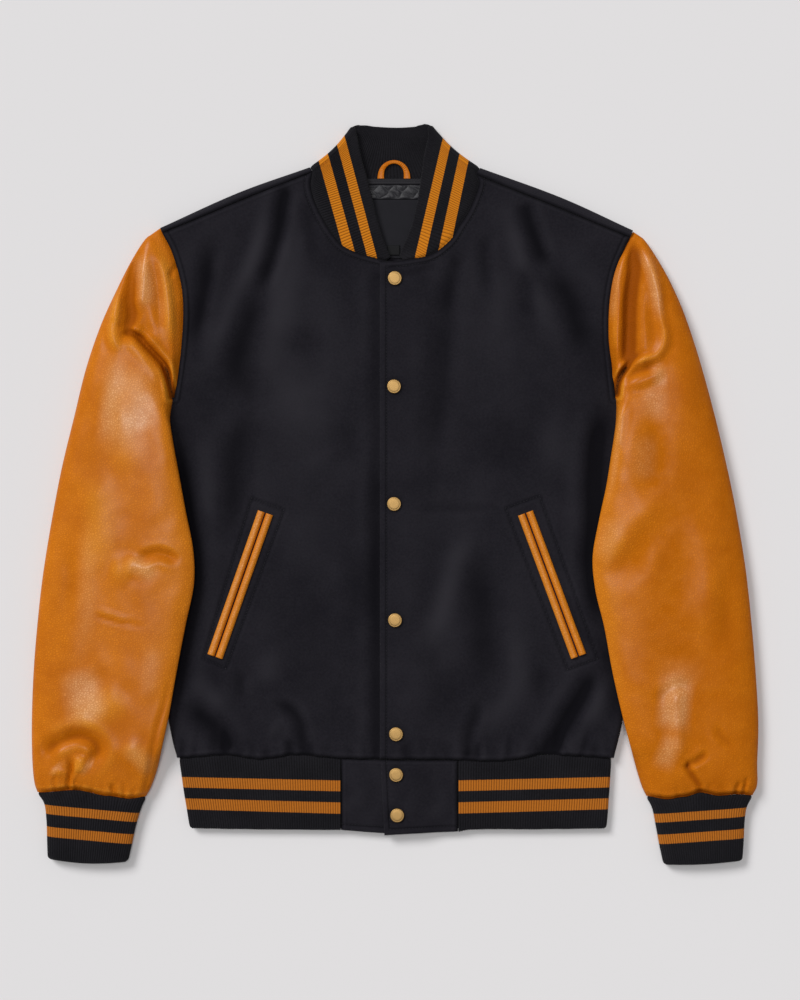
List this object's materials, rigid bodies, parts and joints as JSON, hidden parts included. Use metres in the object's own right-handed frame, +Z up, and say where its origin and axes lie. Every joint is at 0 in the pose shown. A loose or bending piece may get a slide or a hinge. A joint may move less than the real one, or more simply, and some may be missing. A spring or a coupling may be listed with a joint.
{
  "type": "varsity jacket",
  "caption": "Varsity jacket laid flat on its back: dark wool body, tan leather sleeves, striped rib knit collar, cuffs and waistband, snaps closed.",
  "frame": {"origin": "middle of the laid jacket's outline, on the surface that it lies on", "axes": "+Z up off the surface, +Y from the waistband to the collar, +X from the wearer's right to the left"},
  "size_m": [0.7692, 0.783, 0.0331],
  "materials": {
    "wool": "matte melton wool",
    "leather": "pebbled, semi-gloss",
    "knit": "matte rib knit with orange stripes",
    "satin": "satin",
    "facing": "matte",
    "tape": "matte woven tape",
    "brass": "satin"
  },
  "bodies": {
    "root": {"back": "wool", "front_right": "wool", "front_left": "wool", "topsleeve_right": "leather", "undersleeve_right": "leather", "topsleeve_left": "leather", "undersleeve_left": "leather", "cuff_right": "knit", "cuff_left": "knit", "collar": "knit", "waistband": "knit", "tab_right": "wool", "tab_left": "wool", "pocket_welt_right_outer": "leather", "pocket_welt_right_inner": "leather", "pocket_welt_left_outer": "leather", "pocket_welt_left_inner": "leather", "snap_1": "brass", "snap_2": "brass", "snap_3": "brass", "snap_4": "brass", "snap_5": "brass", "snap_6": "brass", "snap_7": "brass", "neck_tape": "tape", "neck_lining": "satin", "neck_facing": "facing", "neck_label": "tape", "hanger_loop": "leather"}
  },
  "joints": []
}
